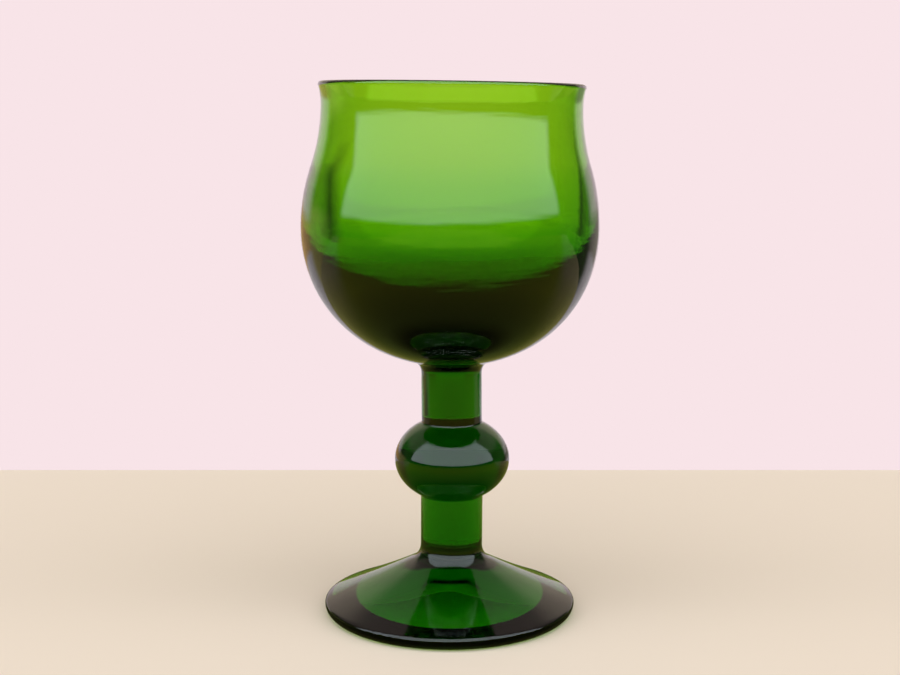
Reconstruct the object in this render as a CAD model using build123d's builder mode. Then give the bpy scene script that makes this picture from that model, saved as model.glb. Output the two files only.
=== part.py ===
from build123d import *
import os
from math import sqrt

# A hand-made green glass water goblet: five pieces of glass, fused one on top of the other.
# Millimetres, +Z up. The table is z = 0 and the goblet's axis is Z. Each piece is one section turned
# about the axis, and the pieces meet on flat round seams.

# Foot: a flared disc standing on a flat ring round a hollow; its edge turns in under a tighter corner
foot_diameter = 78.5
foot_height = 21.2
foot_edge_thickness = 4.3
foot_edge_corner = 1.2
foot_fillet_radius = 5.6
foot_sweep_radius = 300.0
resting_ring_width = 9.0
hollow_depth = 6.5
hollow_roof_diameter = 12.0
hollow_roof_fillet = 12.0
hollow_rim_fillet = 0.8

# Stem: two solid rods, below and above the knop
lower_stem_diameter = 19.3
lower_stem_length = 15.7
upper_stem_diameter = 18.7
upper_stem_length = 13.3

# Knop: a flattened ball with a short collar at each end
knop_diameter = 35.7
knop_round_height = 27.0
knop_lower_collar = 0.6
knop_upper_collar = 1.0
knop_lower_fillet = 0.5
knop_upper_fillet = 1.0

# Bowl: heights are measured from its seam with the stem, or down from the rim
bowl_height = 90.3
bowl_stub_length = 4.0
bowl_fillet_radius = 4.0
belly_height = 46.1
belly_diameter = 90.8
inner_belly_height = 48.4
neck_drop = 6.6
neck_diameter = 78.9
rim_diameter = 80.6
lip_wall = 2.0
belly_wall = 3.1
floor_thickness = 17.5

# Fullness of the bowl below its belly: how far the curve runs on down, and on across, before it turns
outer_side_reach = 22.6
outer_floor_reach = 28.2
inner_side_reach = 14.0
inner_floor_reach = 31.0

# Heights of the seams and of the bowl's main rings
lower_stem_radius = lower_stem_diameter / 2
upper_stem_radius = upper_stem_diameter / 2
knop_radius = knop_diameter / 2
knop_half = knop_round_height / 2
knop_below_middle = knop_half * sqrt(1 - (lower_stem_radius / knop_radius) ** 2)
knop_above_middle = knop_half * sqrt(1 - (upper_stem_radius / knop_radius) ** 2)

knop_seam = foot_height + lower_stem_length
knop_middle = knop_seam + knop_lower_collar + knop_below_middle
knop_round_top = knop_middle + knop_above_middle
knop_top = knop_round_top + knop_upper_collar
bowl_seam = knop_top + upper_stem_length
rim_top = bowl_seam + bowl_height
neck_level = rim_top - neck_drop
belly_level = bowl_seam + belly_height
inner_belly_level = bowl_seam + inner_belly_height
bowl_bottom = bowl_seam + bowl_stub_length
floor_level = bowl_bottom + floor_thickness
lip_level = rim_top - lip_wall / 2


def bowl_curve(rim, neck, belly, widest, lowest, side_reach, floor_reach):
    """One side of the bowl's wall, from the lip in to the axis, drawn into the outline being made.

    The lip flares out of the upright neck in a parabola. Two arcs that bend opposite ways join neck and
    belly, and meet half way between them.
    """
    shoulder = (Vector(neck, neck_level) + Vector(belly, widest)) / 2
    Bezier((neck, neck_level), (neck, (neck_level + lip_level) / 2), (rim, lip_level))
    TangentArc((neck, neck_level), shoulder, tangent=(0, -1))
    TangentArc((belly, widest), shoulder, tangent=(0, 1))
    Bezier(
        (belly, widest),
        (belly, widest - side_reach),
        (floor_reach, lowest),
        (0, lowest),
    )


# Foot: the top flares from the stem in a tight fillet, then in a wide sweep down to the edge's corner
foot_radius = foot_diameter / 2
edge_round = foot_edge_thickness - foot_edge_corner
corner_centre = Vector(foot_radius - foot_edge_corner, edge_round)
flare_centre = Vector(lower_stem_radius + foot_fillet_radius, foot_height)
ring_radius = foot_radius - edge_round
hollow_radius = ring_radius - resting_ring_width
hollow_roof_radius = hollow_roof_diameter / 2

# The sweep's centre lies at a known distance from the centres of the fillet and of the corner
flare_to_corner = corner_centre - flare_centre
centre_gap = flare_to_corner.length
from_flare = foot_sweep_radius - foot_fillet_radius
from_corner = foot_sweep_radius + foot_edge_corner
along = (from_flare**2 - from_corner**2 + centre_gap**2) / (2 * centre_gap)
across = sqrt(from_flare**2 - along**2)
towards = flare_to_corner.normalized()
upwards = Vector(-towards.Y, towards.X)
sweep_centre = flare_centre + towards * along + upwards * across
flare_end = sweep_centre + (flare_centre - sweep_centre) * (foot_sweep_radius / from_flare)
corner_start = sweep_centre + (corner_centre - sweep_centre) * (foot_sweep_radius / from_corner)

with BuildPart() as foot:
    with BuildSketch(Plane.XZ) as foot_section:
        with BuildLine():
            flare = TangentArc((lower_stem_radius, foot_height), flare_end, tangent=(0, -1))
            sweep = TangentArc(flare_end, corner_start, tangent=flare % 1)
            corner = TangentArc(corner_start, (foot_radius, edge_round), tangent=sweep % 1)
            TangentArc((foot_radius, edge_round), (ring_radius, 0), tangent=corner % 1)
            Polyline(
                (ring_radius, 0),
                (hollow_radius, 0),
                (hollow_roof_radius, hollow_depth),
                (0, hollow_depth),
                (0, foot_height),
                (lower_stem_radius, foot_height),
            )
        make_face()
        hollow_rim = foot_section.vertices().sort_by_distance((hollow_radius, 0))[0]
        fillet(hollow_rim, hollow_rim_fillet)
        hollow_roof = foot_section.vertices().sort_by_distance((hollow_roof_radius, hollow_depth))[0]
        fillet(hollow_roof, min(hollow_roof_fillet, hollow_roof_diameter))
    revolve(axis=Axis.Z)

# Lower stem: a plain rod from the foot's seam up to the knop's
with BuildPart() as lower_stem:
    with BuildSketch(Plane.XY.offset(foot_height)):
        Circle(lower_stem_radius)
    extrude(amount=lower_stem_length)

# Knop: the ball is cut flat where it is as wide as the rods, and a collar stands on each cut
with BuildPart() as knop:
    with BuildSketch(Plane.XZ) as knop_section:
        with Locations((0, knop_middle)):
            Ellipse(knop_radius, knop_half)
        with Locations((0, knop_middle - knop_below_middle)):
            Rectangle(
                knop_diameter,
                knop_below_middle + knop_above_middle,
                align=(Align.MIN, Align.MIN),
                mode=Mode.INTERSECT,
            )
        with Locations((0, knop_seam)):
            Rectangle(lower_stem_radius, knop_lower_collar, align=(Align.MIN, Align.MIN))
        with Locations((0, knop_round_top)):
            Rectangle(upper_stem_radius, knop_upper_collar, align=(Align.MIN, Align.MIN))
        lower_corner = knop_section.vertices().sort_by_distance(
            (lower_stem_radius, knop_seam + knop_lower_collar)
        )[0]
        fillet(lower_corner, min(knop_lower_fillet, knop_lower_collar))
        upper_corner = knop_section.vertices().sort_by_distance((upper_stem_radius, knop_round_top))[0]
        fillet(upper_corner, min(knop_upper_fillet, knop_upper_collar))
    revolve(axis=Axis.Z)

# Upper stem: a plain rod from the knop's seam up to the bowl's
with BuildPart() as upper_stem:
    with BuildSketch(Plane.XY.offset(knop_top)):
        Circle(upper_stem_radius)
    extrude(amount=upper_stem_length)

# Bowl: a blown wall with a round lip, a thick floor, and a stub under it that the rod is stuck to
with BuildPart() as bowl:
    with BuildSketch(Plane.XZ) as bowl_section:
        with BuildLine():
            bowl_curve(
                rim_diameter / 2,
                neck_diameter / 2,
                belly_diameter / 2,
                belly_level,
                bowl_bottom,
                outer_side_reach,
                outer_floor_reach,
            )
            Polyline((0, bowl_bottom), (0, lip_level), (rim_diameter / 2, lip_level))
        make_face()
        with Locations((0, bowl_seam)):
            Rectangle(upper_stem_radius, floor_level - bowl_seam, align=(Align.MIN, Align.MIN))
        stub_corner = bowl_section.vertices().sort_by_distance((upper_stem_radius, bowl_bottom))[0]
        fillet(stub_corner, min(bowl_fillet_radius, bowl_stub_length))
        with BuildLine():
            bowl_curve(
                rim_diameter / 2 - lip_wall,
                neck_diameter / 2 - lip_wall,
                belly_diameter / 2 - belly_wall,
                inner_belly_level,
                floor_level,
                inner_side_reach,
                inner_floor_reach,
            )
            Polyline((0, floor_level), (0, lip_level), (rim_diameter / 2 - lip_wall, lip_level))
        make_face(mode=Mode.SUBTRACT)
        with Locations((rim_diameter / 2 - lip_wall / 2, lip_level)):
            Circle(lip_wall / 2)
    revolve(axis=Axis.Z)

os.makedirs("parts", exist_ok=True)
pieces = {
    "foot": foot,
    "lower_stem": lower_stem,
    "knop": knop,
    "upper_stem": upper_stem,
    "bowl": bowl,
}
for name, piece in pieces.items():
    piece.part.label = name
    export_step(piece.part, f"parts/{name}.step")
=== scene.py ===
from math import pi, radians

import bpy
import numpy as np
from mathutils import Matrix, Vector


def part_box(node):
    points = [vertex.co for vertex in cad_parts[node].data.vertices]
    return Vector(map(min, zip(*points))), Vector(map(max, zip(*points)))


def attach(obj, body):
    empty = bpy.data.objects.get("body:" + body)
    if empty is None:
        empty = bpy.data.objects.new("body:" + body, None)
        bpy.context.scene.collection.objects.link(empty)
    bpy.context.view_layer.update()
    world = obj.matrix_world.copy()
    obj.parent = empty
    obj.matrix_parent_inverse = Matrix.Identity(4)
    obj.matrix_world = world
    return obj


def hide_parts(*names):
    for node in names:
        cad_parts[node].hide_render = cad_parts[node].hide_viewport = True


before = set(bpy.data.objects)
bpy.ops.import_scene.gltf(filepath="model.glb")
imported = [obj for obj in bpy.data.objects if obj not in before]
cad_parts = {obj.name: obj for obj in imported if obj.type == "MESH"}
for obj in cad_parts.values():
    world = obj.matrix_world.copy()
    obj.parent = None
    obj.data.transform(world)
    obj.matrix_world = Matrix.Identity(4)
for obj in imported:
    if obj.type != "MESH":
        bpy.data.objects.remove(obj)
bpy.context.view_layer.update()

# A hand-made water goblet in one deep green glass. The bowl, the two rods of the stem, the knop and the
# foot are separate gathers of glass, fused while hot. Lengths are written in millimetres and the meshes
# are in metres.
MM = 0.001


def reach(node):
    """Radius of a round node, and its lowest and highest level, in mm, as the frame has them."""
    low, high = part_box(node)
    return high[0] / MM, low[2] / MM, high[2] / MM


foot_radius, table_level, foot_top = reach("foot")
lower_stem_radius, _, knop_seam = reach("lower_stem")
knop_radius, _, knop_top = reach("knop")
upper_stem_radius, _, bowl_seam = reach("upper_stem")
belly_radius, _, rim_top = reach("bowl")

# Foot
foot_edge_corner = 1.2
foot_edge_round = 3.1
foot_fillet_radius = 5.6
foot_sweep_radius = 300.0
resting_ring_width = 9.0
hollow_depth = 6.5
hollow_roof_radius = 6.0
hollow_roof_fillet = 12.0
hollow_rim_fillet = 0.8

# Knop
knop_half_height = 13.5
knop_lower_collar = 0.6
knop_lower_fillet = 0.5
knop_upper_fillet = 1.0

# Bowl
bowl_stub_length = 4.0
bowl_fillet_radius = 4.0
belly_height = 46.1
inner_belly_height = 48.4
neck_drop = 6.6
neck_radius = 39.45
rim_radius = 40.3
lip_wall = 2.0
belly_wall = 3.1
floor_thickness = 17.5
outer_side_reach = 22.6
outer_floor_reach = 28.2
inner_side_reach = 14.0
inner_floor_reach = 31.0

belly_level = bowl_seam + belly_height
inner_belly_level = bowl_seam + inner_belly_height
neck_level = rim_top - neck_drop
lip_level = rim_top - lip_wall / 2
bowl_bottom = bowl_seam + bowl_stub_length
floor_level = bowl_bottom + floor_thickness

# Meshes: points around the axis, the longest step along a section, the fewest points on an arc, the points on
# the side of the knop, the levels tried for the centre of the bowl's fillet, the distance under which two
# points are one, and the angle from which an edge is sharp
TURNS = 256
STEP = 0.7
ARC_POINTS = 7
KNOP_POINTS = 78
FILLET_TRIES = 4000
SAME = 1e-6
SHARP_ANGLE = radians(60)

# A hair between neighbouring pieces, so that a ray never meets two seams at one place, and the distance from
# a seam's level within which a flat face belongs to it
SEAM_GAP = 0.01
SEAM_REACH = 0.1
seam_levels = np.array([foot_top, knop_seam, knop_top, bowl_seam])


def point(radius, level):
    return np.array([radius, level], dtype=float)


def line(start, end):
    """Straight run from start to end, in even steps."""
    count = int(np.hypot(*(end - start)) / STEP) + 2
    share = np.linspace(0, 1, count)[:, None]
    return start + (end - start) * share


def arc(centre, radius, start, end):
    """Circle of a radius about a centre, from one angle to another."""
    count = max(ARC_POINTS, int(abs(end - start) * radius / STEP) + 2)
    angle = np.linspace(start, end, count)
    return centre + radius * np.stack([np.cos(angle), np.sin(angle)], axis=1)


def tangent_arc(start, end, heading):
    """Arc that leaves start along heading, a unit vector, and runs to end.

    Its centre lies square to the heading, at chord squared over twice the chord's sideways part.
    """
    chord = end - start
    side = np.array([-heading[1], heading[0]])
    radius = chord @ chord / (2 * chord @ side)
    centre = start + side * radius
    first = np.arctan2(*(start - centre)[::-1])
    last = np.arctan2(*(end - centre)[::-1])
    turn = (last - first + pi) % (2 * pi) - pi
    return arc(centre, abs(radius), first, first + turn)


def bezier(*corners):
    """Bezier curve: each pass blends neighbouring corners by the share of the way, until one is left."""
    corners = np.array(corners)
    length = np.hypot(*np.diff(corners, axis=0).T).sum()
    share = np.linspace(0, 1, int(length / STEP) + 2)[:, None]
    levels = [np.repeat(corner[None], len(share), axis=0) for corner in corners]
    while len(levels) > 1:
        levels = [a + (b - a) * share for a, b in zip(levels, levels[1:])]
    return levels[0]


def fillet(before, corner, after, radius):
    """Arc that rounds the corner between two straight directions, touching both."""
    back = (before - corner) / np.hypot(*(before - corner))
    ahead = (after - corner) / np.hypot(*(after - corner))
    half = np.arccos(np.clip(back @ ahead, -1, 1)) / 2
    middle = (back + ahead) / np.hypot(*(back + ahead))
    centre = corner + middle * radius / np.sin(half)
    first = corner + back * radius / np.tan(half) - centre
    last = corner + ahead * radius / np.tan(half) - centre
    start = np.arctan2(first[1], first[0])
    turn = (np.arctan2(last[1], last[0]) - start + pi) % (2 * pi) - pi
    return arc(centre, radius, start, start + turn)


def join(*runs):
    """Runs of a section one after the other, with the points that they share kept once."""
    section = np.concatenate(runs)
    step = np.hypot(*np.diff(section, axis=0).T)
    return section[np.concatenate([[True], step > SAME])]


# What the hand leaves in the glass, in mm: the axis strays sideways by a little at each level, and the rim
# is lower on its right side
stray_levels = np.array([0.0, 26.0, 49.0, 68.0, 121.0, 165.0])
stray = np.array([-0.2, 0.5, 0.65, 0.5, 0.0, 0.65])
rim_drop = 1.2

# Share of the ripple on the outside, and on the inside at two levels
ripple_outside = 0.12
ripple_levels, ripple_inside = (108.0, 126.0), (1.0, 0.15)

# Share of the ripple from which the glass is finely uneven too, and its roughness at the whole share
fine_from, fine_roughness = 0.2, 0.15


def hand_made(places):
    """Points moved sideways as the axis strays, and down towards the rim's low side.

    Between two levels the stray goes over in a smooth step. The drop grows as the square of the height
    over the belly, and evenly from left to right across the rim.
    """
    x, y, z = places.T
    lower = np.clip(np.searchsorted(stray_levels, z, side="right") - 1, 0, len(stray) - 2)
    way = np.clip((z - stray_levels[lower]) / np.diff(stray_levels)[lower], 0, 1)
    sideways = stray[lower] + np.diff(stray)[lower] * way**2 * (3 - 2 * way)
    height = np.clip((z - belly_level) / (rim_top - belly_level), 0, 1)
    drop = rim_drop * height**2 * (1 + x / rim_radius) / 2
    return np.stack([x + sideways, y, z - drop], axis=1)


def turned(name, section, node):
    """Closed surface of revolution that stands for a CAD node.

    A point of the section at (r, z) goes to (r cos a, r sin a, z) for each angle a around the axis. The
    section starts and ends on the axis, where its ring is one vertex. The flat discs that meet the next
    piece carry a seam attribute of 1. A worked attribute is the share of the ripple: small outside, and
    growing down the inside, past the section's highest point, to the floor.
    """
    rings = section[1:-1]
    angle = np.arange(TURNS) * (2 * pi / TURNS)
    x = rings[:, :1] * np.cos(angle)
    y = rings[:, :1] * np.sin(angle)
    z = np.repeat(rings[:, 1:], TURNS, axis=1)
    grid = np.stack([x, y, z], axis=2).reshape(-1, 3)
    poles = np.array([[0, 0, section[0, 1]], [0, 0, section[-1, 1]]])
    places = np.concatenate([grid, poles])

    index = np.arange(len(rings) * TURNS).reshape(len(rings), TURNS)
    following = np.roll(index, -1, axis=1)
    quads = [index[:-1], following[:-1], following[1:], index[1:]]
    quads = np.stack(quads, axis=2).reshape(-1, 4)
    first = np.stack([following[0], index[0], np.full(TURNS, len(grid))], axis=1)
    last = np.stack([index[-1], following[-1], np.full(TURNS, len(grid) + 1)], axis=1)
    faces = quads.tolist() + first.tolist() + last.tolist()
    mesh = bpy.data.meshes.new(name)
    mesh.from_pydata((hand_made(places) * MM).tolist(), [], faces)
    mesh.shade_smooth()
    mesh.set_sharp_from_angle(angle=SHARP_ANGLE)

    levels = [places[corners, 2] for corners in (quads, first, last)]
    flat = np.concatenate([np.ptp(level, axis=1) < SAME for level in levels])
    heights = np.concatenate([level[:, 0] for level in levels])
    on_seam = flat & (np.abs(heights[:, None] - seam_levels).min(axis=1) < SEAM_REACH)
    seam = mesh.attributes.new("seam", "FLOAT", "FACE")
    seam.data.foreach_set("value", on_seam.astype(np.float32))

    inside = np.arange(len(rings)) > rings[:, 1].argmax()
    down_inside = np.interp(rings[:, 1], ripple_levels, ripple_inside)
    by_ring = np.where(inside, down_inside, ripple_outside)
    shares = np.concatenate([np.repeat(by_ring, TURNS), by_ring[[0, -1]]])
    worked = mesh.attributes.new("worked", "FLOAT", "POINT")
    worked.data.foreach_set("value", shares.astype(np.float32))

    piece = bpy.data.objects.new(name, mesh)
    bpy.context.scene.collection.objects.link(piece)
    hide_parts(node)
    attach(piece, "root")
    return piece


def bowl_side(rim, neck, belly, widest, lowest, side_reach, floor_reach):
    """One side of the bowl's wall, from the axis out to the lip.

    A full Bezier curve runs under the belly, two arcs meet half way between belly and neck, and a parabola
    is the flare of the lip.
    """
    shoulder = point((neck + belly) / 2, (neck_level + widest) / 2)
    return join(
        bezier(
            point(0, lowest),
            point(floor_reach, lowest),
            point(belly, widest - side_reach),
            point(belly, widest),
        ),
        tangent_arc(point(belly, widest), shoulder, (0, 1)),
        tangent_arc(point(neck, neck_level), shoulder, (0, -1))[::-1],
        bezier(
            point(neck, neck_level),
            point(neck, (neck_level + lip_level) / 2),
            point(rim, lip_level),
        ),
    )


def bowl_section():
    """Up the stub and the outer wall, over the half-round lip, down the inner wall to the floor."""
    outer = bowl_side(
        rim_radius,
        neck_radius,
        belly_radius,
        belly_level,
        bowl_bottom,
        outer_side_reach,
        outer_floor_reach,
    )
    inner = bowl_side(
        rim_radius - lip_wall,
        neck_radius - lip_wall,
        belly_radius - belly_wall,
        inner_belly_level,
        floor_level,
        inner_side_reach,
        inner_floor_reach,
    )
    # The fillet's centre is one fillet radius from the stub's side and from the wall's curve
    stand = upper_stem_radius + bowl_fillet_radius
    levels = np.linspace(bowl_seam - bowl_fillet_radius, bowl_bottom, FILLET_TRIES)
    nearest = np.hypot(outer[:, 0, None] - stand, outer[:, 1, None] - levels).min(axis=0)
    centre = point(stand, levels[np.abs(nearest - bowl_fillet_radius).argmin()])
    first = np.hypot(*(outer - centre).T).argmin()
    touch = outer[first]
    seam = bowl_seam + SEAM_GAP
    return join(
        line(point(0, seam), point(upper_stem_radius, seam)),
        line(point(upper_stem_radius, seam), point(upper_stem_radius, centre[1])),
        arc(centre, bowl_fillet_radius, pi, np.arctan2(*(touch - centre)[::-1])),
        outer[first:],
        arc(point(rim_radius - lip_wall / 2, lip_level), lip_wall / 2, 0, pi),
        inner[::-1],
    )


def rod_section(radius, low, high):
    """A plain rod between two seams."""
    low, high = low + SEAM_GAP, high - SEAM_GAP
    return join(
        line(point(0, low), point(radius, low)),
        line(point(radius, low), point(radius, high)),
        line(point(radius, high), point(0, high)),
    )


def knop_section():
    """A collar, the side of an ellipse as wide as the rods at its cut ends, and a second collar."""
    low, high = knop_seam + SEAM_GAP, knop_top - SEAM_GAP
    below = np.arccos(lower_stem_radius / knop_radius)
    above = np.arccos(upper_stem_radius / knop_radius)
    middle = knop_seam + knop_lower_collar + knop_half_height * np.sin(below)
    angle = np.linspace(-below, above, KNOP_POINTS)
    ellipse = [knop_radius * np.cos(angle), middle + knop_half_height * np.sin(angle)]
    side = np.stack(ellipse, axis=1)
    # Each fillet rounds the corner of a collar and the ellipse, whose first steps are taken as straight
    lower_fillet = fillet(point(lower_stem_radius, low), side[0], side[2], knop_lower_fillet)
    upper_fillet = fillet(side[-3], side[-1], point(upper_stem_radius, high), knop_upper_fillet)
    between = (side[:, 1] > lower_fillet[-1, 1]) & (side[:, 1] < upper_fillet[0, 1])
    between &= (side[:, 0] > lower_fillet[-1, 0]) & (side[:, 0] > upper_fillet[0, 0])
    return join(
        line(point(0, low), point(lower_stem_radius, low)),
        line(point(lower_stem_radius, low), lower_fillet[0]),
        lower_fillet,
        side[between],
        upper_fillet,
        line(upper_fillet[-1], point(upper_stem_radius, high)),
        line(point(upper_stem_radius, high), point(0, high)),
    )


def foot_section():
    """From the hollow's roof down to the resting ring, round the edge, and up the sweep and the flare.

    The sweep's centre lies at a known distance from the centres of the flare and of the edge's corner.
    """
    corner = point(foot_radius - foot_edge_corner, foot_edge_round)
    flare = point(lower_stem_radius + foot_fillet_radius, foot_top)
    gap = np.hypot(*(corner - flare))
    from_flare = foot_sweep_radius - foot_fillet_radius
    from_corner = foot_sweep_radius + foot_edge_corner
    along = (from_flare**2 - from_corner**2 + gap**2) / (2 * gap)
    towards = (corner - flare) / gap
    upwards = np.array([-towards[1], towards[0]])
    sweep = flare + towards * along + upwards * np.sqrt(from_flare**2 - along**2)
    corner_angle = np.arctan2(*(corner - sweep)[::-1])
    flare_angle = np.arctan2(*(flare - sweep)[::-1])

    roof_middle = point(0, hollow_depth)
    roof = point(hollow_roof_radius, hollow_depth)
    ring_outer = point(foot_radius - foot_edge_round, table_level)
    rim = point(ring_outer[0] - resting_ring_width, table_level)
    roof_round = fillet(roof_middle, roof, rim, hollow_roof_fillet)
    rim_round = fillet(roof, rim, ring_outer, hollow_rim_fillet)
    seam = foot_top - SEAM_GAP
    return join(
        line(roof_middle, roof_round[0]),
        roof_round,
        line(roof_round[-1], rim_round[0]),
        rim_round,
        line(rim_round[-1], ring_outer),
        arc(point(ring_outer[0], foot_edge_round), foot_edge_round, -pi / 2, 0),
        arc(corner, foot_edge_corner, 0, corner_angle + pi),
        arc(sweep, foot_sweep_radius, corner_angle, flare_angle),
        arc(flare, foot_fillet_radius, flare_angle + 2 * pi, pi),
        line(point(lower_stem_radius, seam), point(0, seam)),
    )


def linear(hex_colour):
    """The linear red, green and blue of an sRGB hex colour."""
    channels = np.array([int(hex_colour[i:i + 2], 16) for i in (1, 3, 5)]) / 255
    low = channels / 12.92
    high = ((channels + 0.055) / 1.055) ** 2.4
    return tuple(np.where(channels <= 0.04045, low, high).tolist())


def add(tree, kind, values=None, links=None, **settings):
    """A node with its settings, the values of its sockets, and the outputs linked into them."""
    made = tree.nodes.new(kind)
    for name, setting in settings.items():
        setattr(made, name, setting)
    for socket, value in (values or {}).items():
        made.inputs[socket].default_value = value
    for socket, output in (links or {}).items():
        tree.links.new(output, made.inputs[socket])
    return made


def new_tree(owner):
    """The owner's node tree, emptied."""
    owner.use_nodes = True
    owner.node_tree.nodes.clear()
    return owner.node_tree


GLASS_INDEX = 1.5


# Green soda-lime glass, blown and fire polished: clear and smooth, so all its colour is depth. Thin walls
# are leaf green and the solid stem is a deep bottle green. Working it by hand leaves a faint ripple, drawn
# out round the bowl and along the rods, which bends the edges of what it reflects. Inside the lower bowl it
# is finely uneven too, and what shows through is soft.
def fire_polished_glass(name, absorbed, ripple):
    """Glass of one piece, by how fast it absorbs red, green and blue light, per metre, and by its ripple.

    The ripple is its length across the axis, its length along it and its depth, in mm. At a seam, where
    glass meets glass, the index is 1, and light goes straight on.
    """
    across, along, deep = ripple
    density = max(absorbed)
    left = [1 - rate / density for rate in absorbed]
    material = bpy.data.materials.new(name)
    tree = new_tree(material)
    seam = add(tree, "ShaderNodeAttribute", attribute_name="seam")
    index = add(
        tree,
        "ShaderNodeMath",
        {1: 1 - GLASS_INDEX, 2: GLASS_INDEX},
        {0: seam.outputs["Fac"]},
        operation="MULTIPLY_ADD",
    )
    place = add(tree, "ShaderNodeTexCoord")
    drawn_out = add(
        tree,
        "ShaderNodeMapping",
        {"Scale": (1 / (across * MM), 1 / (across * MM), 1 / (along * MM))},
        {"Vector": place.outputs["Object"]},
    )
    waves = add(
        tree,
        "ShaderNodeTexNoise",
        {"Scale": 1.0, "Detail": 1.0, "Roughness": 0.4},
        {"Vector": drawn_out.outputs[0]},
    )
    worked = add(tree, "ShaderNodeAttribute", attribute_name="worked")
    uneven = add(
        tree,
        "ShaderNodeBump",
        {"Distance": deep * MM},
        {"Height": waves.outputs["Fac"], "Strength": worked.outputs["Fac"]},
    )
    fine = add(
        tree,
        "ShaderNodeMapRange",
        {"From Min": fine_from, "From Max": 1.0, "To Max": fine_roughness},
        {"Value": worked.outputs["Fac"]},
    )
    surface = add(
        tree,
        "ShaderNodeBsdfPrincipled",
        {"Base Color": (1, 1, 1, 1), "Roughness": 0.0, "Transmission Weight": 1.0},
        {"IOR": index.outputs[0], "Normal": uneven.outputs[0], "Roughness": fine.outputs[0]},
    )
    depth = add(tree, "ShaderNodeVolumeAbsorption", {"Color": (*left, 1), "Density": density})
    add(
        tree,
        "ShaderNodeOutputMaterial",
        links={"Surface": surface.outputs[0], "Volume": depth.outputs[0]},
    )
    return material


pieces = {
    "foot": foot_section(),
    "lower_stem": rod_section(lower_stem_radius, foot_top, knop_seam),
    "knop": knop_section(),
    "upper_stem": rod_section(upper_stem_radius, knop_top, bowl_seam),
    "bowl": bowl_section(),
}

# Red, green and blue absorbed per metre, as each piece's depth shows it
absorbed = {
    "foot": (265.0, 80.0, 860.0),
    "lower_stem": (300.0, 101.0, 450.0),
    "knop": (240.0, 100.0, 450.0),
    "upper_stem": (322.0, 118.0, 450.0),
    "bowl": (336.0, 118.0, 1165.0),
}

# Each ripple's length across the axis, its length along it, and its depth, in mm
ripples = {
    "foot": (6.0, 6.0, 0.12),
    "lower_stem": (2.4, 30.0, 1.6),
    "knop": (12.0, 4.0, 0.12),
    "upper_stem": (2.4, 30.0, 1.6),
    "bowl": (14.0, 2.0, 0.2),
}

for node, section in pieces.items():
    piece = turned("glass_" + node, section, node)
    glass = fire_polished_glass("green_glass_" + node, absorbed[node], ripples[node])
    piece.data.materials.append(glass)

# Floor: a plain pale board a hair under the resting ring, with a straight back edge where the pale backdrop
# begins. Stage sizes are in metres.
floor_mesh = bpy.data.meshes.new("floor")
half_width, front, back, top = 1.5, -1.5, 0.180, -0.00005
floor_mesh.from_pydata(
    [
        (-half_width, front, top),
        (half_width, front, top),
        (half_width, back, top),
        (-half_width, back, top),
    ],
    [],
    [(0, 1, 2, 3)],
)
floor = bpy.data.objects.new("floor", floor_mesh)
bpy.context.scene.collection.objects.link(floor)
board = bpy.data.materials.new("pale_board")
tree = new_tree(board)
paint = add(tree, "ShaderNodeBsdfDiffuse", {"Color": (*linear("#f2dac6"), 1)})
add(tree, "ShaderNodeOutputMaterial", links={"Surface": paint.outputs[0]})
floor_mesh.materials.append(board)
# Hidden from reflections: the glass reflects the glowing card under it instead, a painted reflection
floor.visible_glossy = False


# Cards out of the camera's sight, that only the glass sees. What it reflects from below is a glowing brown
# card under the board, a painted reflection of a lit board, with painted shadow near the goblet. What is seen
# through each side of the bowl is a soft dark flag behind it, which paints dark shade into the bowl's sides.
def card(name, places, shades):
    """A glowing card through a grid of places, that neither the camera nor matt surfaces see. Its glow is
    painted light and shade, which only the glass shows.

    Each place has a shade of red, green, blue and cover, and these run evenly from one to the next.
    """
    rows, columns = places.shape[:2]
    index = np.arange(rows * columns).reshape(rows, columns)
    quads = [index[:-1, :-1], index[:-1, 1:], index[1:, 1:], index[1:, :-1]]
    quads = np.stack(quads, axis=2).reshape(-1, 4)
    mesh = bpy.data.meshes.new(name)
    mesh.from_pydata(places.reshape(-1, 3).tolist(), [], quads.tolist())
    shade = mesh.attributes.new("shade", "FLOAT_COLOR", "POINT")
    shade.data.foreach_set("color", shades.ravel())
    made = bpy.data.objects.new(name, mesh)
    bpy.context.scene.collection.objects.link(made)
    made.visible_camera = False
    made.visible_diffuse = False
    made.visible_shadow = False
    matt = bpy.data.materials.new(name)
    tree = new_tree(matt)
    tone = add(tree, "ShaderNodeAttribute", attribute_name="shade")
    glow = add(tree, "ShaderNodeEmission", links={"Color": tone.outputs["Color"]})
    clear = add(tree, "ShaderNodeBsdfTransparent")
    cover = add(
        tree,
        "ShaderNodeMixShader",
        links={0: tone.outputs["Alpha"], 1: clear.outputs[0], 2: glow.outputs[0]},
    )
    add(tree, "ShaderNodeOutputMaterial", links={"Surface": cover.outputs[0]})
    mesh.materials.append(matt)
    return made


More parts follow.
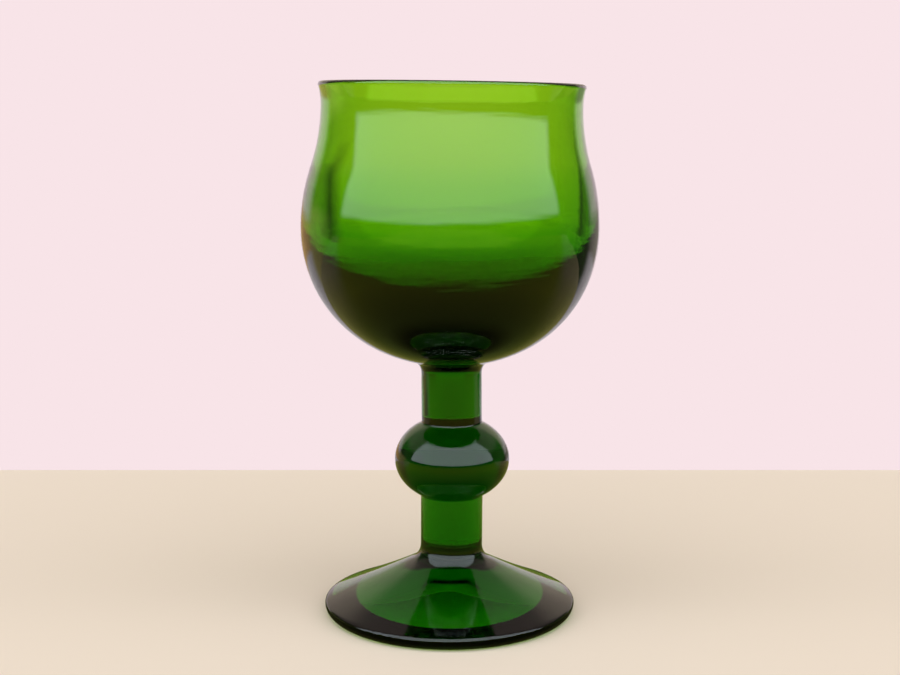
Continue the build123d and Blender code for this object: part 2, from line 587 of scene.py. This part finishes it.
# Brown card, a painted reflection of the lit board: its tones lie on rings round the goblet, and the darker
# tones near the goblet, darkest on the second ring, are painted shadow. Behind the goblet it goes over to a
# paler brown between two distances, and that change comes in gradually over the first stretch behind the
# axis.
card_rings = (0.036, 0.042, 0.070, 0.180)
browns = np.array([linear(tone) for tone in ("#616138", "#303019", "#6c7635", "#9e9e3c")])
pale_brown = np.array(linear("#b5a881"))
pale_from, pale_to, pale_back = 0.10, 0.30, 0.05
card_level, card_reach, card_lines = -0.0005, 0.3, 121
card_x = np.linspace(-card_reach, card_reach, card_lines)
card_x = np.concatenate([[-half_width], card_x, [half_width]])
card_y = np.concatenate([[front], np.linspace(-card_reach, back, card_lines)])
card_x, card_y = np.meshgrid(card_x, card_y)
distance = np.hypot(card_x, card_y)
tones = np.stack([np.interp(distance, card_rings, tone) for tone in browns.T], axis=2)
pale = np.clip((distance - pale_from) / (pale_to - pale_from), 0, 1) * np.clip(card_y / pale_back, 0, 1)
tones += (pale_brown - tones) * pale[:, :, None]
shades = np.concatenate([tones, np.ones((*distance.shape, 1))], axis=2)
places = np.stack([card_x, card_y, np.full_like(card_x, card_level)], axis=2)
card("painted_reflection_card", places, shades).visible_transmission = False

# Dark flags, painted shade in the bowl's sides: only rays through the glass see them. Each row is its height,
# the places of one edge, of the darkest line and of the other edge, and how far the darkest line covers what
# lies behind it; the edges don't cover it.
flags = {
    "left": [
        (0.085, -0.068, -0.0535, -0.0455, 0.95),
        (0.127, -0.068, -0.0535, -0.0455, 0.85),
        (0.134, -0.064, -0.0500, -0.0430, 0.5),
        (0.146, -0.059, -0.0466, -0.0395, 0.0),
    ],
    "right": [
        (0.085, 0.0605, 0.0655, 0.085, 1.0),
        (0.126, 0.0605, 0.0655, 0.085, 1.0),
        (0.140, 0.0595, 0.0645, 0.083, 0.9),
        (0.156, 0.0575, 0.0620, 0.080, 0.0),
    ],
}
flag_back, flag_shade = 0.080, linear("#191d1d")
for side, rows in flags.items():
    rows = np.array(rows)
    across = rows[:, 1:4]
    up = np.repeat(rows[:, :1], 3, axis=1)
    places = np.stack([across, np.full_like(across, flag_back), up], axis=2)
    cover = rows[:, 4:] * np.array([0, 1, 0])
    dark = np.broadcast_to(flag_shade, (*cover.shape, 3))
    shades = np.concatenate([dark, cover[:, :, None]], axis=2)
    card("painted_shade_flag_" + side, places, shades).visible_glossy = False

# World: a pale backdrop behind, a wide soft light in front, above the horizon, and dark sides between them.
# A direction's part along X is to the right, along Y to the back and along Z up.
world = bpy.data.worlds.new("studio")
bpy.context.scene.world = world
tree = new_tree(world)
way = add(tree, "ShaderNodeTexCoord")
axes = add(tree, "ShaderNodeSeparateXYZ", links={0: way.outputs["Generated"]})


def rise(axis, low, high):
    """Smooth step from 0 to 1 as the direction's part along an axis goes from low to high."""
    step = add(
        tree,
        "ShaderNodeMapRange",
        {"From Min": low, "From Max": high},
        {"Value": axes.outputs[axis]},
        interpolation_type="SMOOTHSTEP",
    )
    return step.outputs[0]


def blend(share, first, second):
    """Colour between first and second; each is a colour or another node's output."""
    mix = add(tree, "ShaderNodeMix", links={0: share}, data_type="RGBA")
    for socket, colour in ((6, first), (7, second)):
        if isinstance(colour, tuple):
            mix.inputs[socket].default_value = (*colour, 1)
        else:
            tree.links.new(colour, mix.inputs[socket])
    return mix.outputs[2]


light_strength = 2.45
soft_light = tuple(light_strength * part for part in linear("#eefaff"))
under_light = linear("#303030")
dark_side, warm_side, high_side = linear("#50593f"), linear("#cbbc7c"), linear("#a69790")
backdrop = linear("#f8e4e8")
backdrop_left, backdrop_right = linear("#e1b87c"), linear("#aaa295")
backdrop_low, backdrop_high = linear("#ddd4d7"), linear("#dfcebc")

front_light = blend(rise("Z", 0.045, 0.105), under_light, soft_light)

# The sides are warm low on the left, towards the back, and paler high up
left_side = blend(rise("X", 0.2, -0.2), dark_side, warm_side)
left_side = blend(rise("Z", 0.0, 0.1), left_side, dark_side)
sides = blend(rise("Y", 0.1, 0.5), dark_side, left_side)
sides = blend(rise("Z", 0.3, 0.5), sides, high_side)
sides = blend(rise("Y", 0.05, -0.05), sides, front_light)

# The backdrop, as the glass sees it, is warm at its left end, grey at its right end, and dimmer low down
# and high up
behind = blend(rise("X", -0.25, -0.31), backdrop, backdrop_left)
behind = blend(rise("X", 0.33, 0.38), behind, backdrop_right)
behind = blend(rise("Z", -0.06, 0.0), behind, backdrop)
behind = blend(rise("Z", -0.155, -0.20), behind, backdrop_low)
behind = blend(rise("Z", 0.10, 0.22), behind, backdrop_high)
around = blend(rise("Y", 0.62, 0.78), sides, behind)

# The camera sees the plain backdrop. Matt surfaces get the same light as the glass, but less of it.
matt_level = 0.72
ray = add(tree, "ShaderNodeLightPath")
seen = blend(ray.outputs["Is Camera Ray"], around, backdrop)
level = add(
    tree,
    "ShaderNodeMath",
    {1: matt_level - 1, 2: 1.0},
    {0: ray.outputs["Is Diffuse Ray"]},
    operation="MULTIPLY_ADD",
)
studio = add(tree, "ShaderNodeBackground", links={"Color": seen, "Strength": level.outputs[0]})
add(tree, "ShaderNodeOutputWorld", links={"Surface": studio.outputs[0]})

# Camera: on the photograph's line of sight, which looks down by about nine degrees
camera_front, camera_height, camera_down = -0.44735, 0.15673, radians(8.87)
camera_data = bpy.data.cameras.new("camera")
camera_data.lens = 58.71
camera_data.sensor_width = 36.0
camera = bpy.data.objects.new("camera", camera_data)
camera.location = (0, camera_front, camera_height)
camera.rotation_euler = (pi / 2 - camera_down, 0, 0)
bpy.context.scene.collection.objects.link(camera)
bpy.context.scene.camera = camera

# Light crosses many surfaces of glass before it leaves the goblet
scene = bpy.context.scene
scene.view_settings.view_transform = "Standard"
scene.cycles.max_bounces = 48
scene.cycles.transmission_bounces = 48
scene.cycles.glossy_bounces = 24
